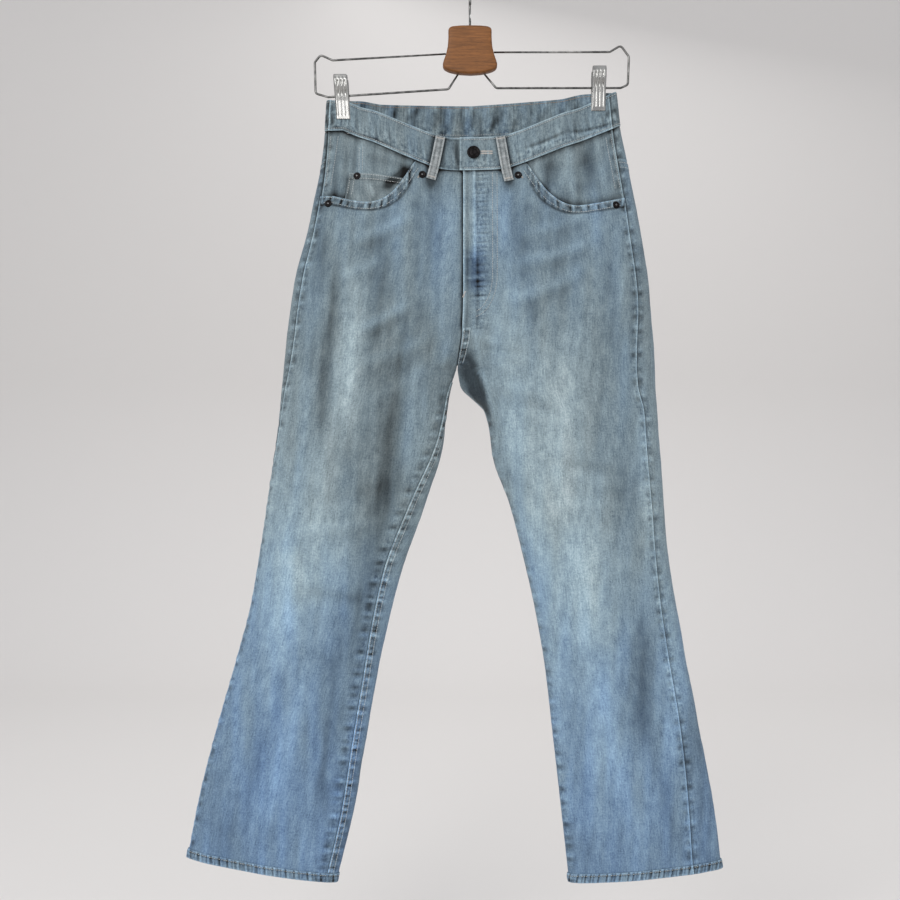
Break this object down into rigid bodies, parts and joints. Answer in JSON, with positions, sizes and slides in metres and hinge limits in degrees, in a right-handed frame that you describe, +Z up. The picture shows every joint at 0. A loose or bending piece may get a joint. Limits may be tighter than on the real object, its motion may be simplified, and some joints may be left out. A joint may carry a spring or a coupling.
{
  "type": "bootcut jeans on a clip hanger",
  "caption": "Light-wash denim bootcut jeans, hollow and open at waist and hems, clipped by the waistband on a steel wire trouser hanger with a wooden block.",
  "frame": {"origin": "inner top of the hanger's crook, where a rod or wall hook carries it", "axes": "-Y is the jeans' front, +X the right side of the front view, +Z up along the hanging height"},
  "size_m": [0.7067, 0.086, 1.1733],
  "materials": {
    "denim_light": "washed cotton denim, matte",
    "denim_trim": "folded denim strip, matte",
    "zip_tape": "woven tape, matte",
    "aged_metal": "dark antiqued metal, half gloss",
    "hanger_steel": "satin steel wire and plate",
    "hanger_wood": "stained wood, satin"
  },
  "bodies": {
    "root": {"front_panel_left": "denim_light", "front_panel_right": "denim_light", "back_panel_left": "denim_light", "back_panel_right": "denim_light", "back_yoke_left": "denim_light", "back_yoke_right": "denim_light", "pocket_facing_left": "denim_light", "pocket_facing_right": "denim_light", "back_pocket_left": "denim_light", "back_pocket_right": "denim_light", "hem_left": "denim_light", "hem_right": "denim_light", "inseam_fell_left": "denim_light", "inseam_fell_right": "denim_light", "coin_pocket": "denim_light", "waistband": "denim_light", "fly_facing": "denim_light", "fly_shield": "denim_light", "front_rise_fell": "denim_light", "back_rise_fell": "denim_light", "belt_loop_front_left": "denim_trim", "belt_loop_front_right": "denim_trim", "belt_loop_rear_left": "denim_trim", "belt_loop_rear_right": "denim_trim", "belt_loop_back": "denim_trim", "fly_zip": "zip_tape", "waist_button": "aged_metal", "rivet_left_inner": "aged_metal", "rivet_left_outer": "aged_metal", "rivet_coin": "aged_metal", "rivet_right_inner": "aged_metal", "rivet_right_outer": "aged_metal", "hanger_hook": "hanger_steel", "hanger_arm_left": "hanger_steel", "hanger_arm_right": "hanger_steel", "clip_front_left": "hanger_steel", "clip_front_right": "hanger_steel", "clip_back_left": "hanger_steel", "clip_back_right": "hanger_steel", "clip_spring_left": "hanger_steel", "clip_spring_right": "hanger_steel", "hanger_block": "hanger_wood"}
  },
  "joints": []
}
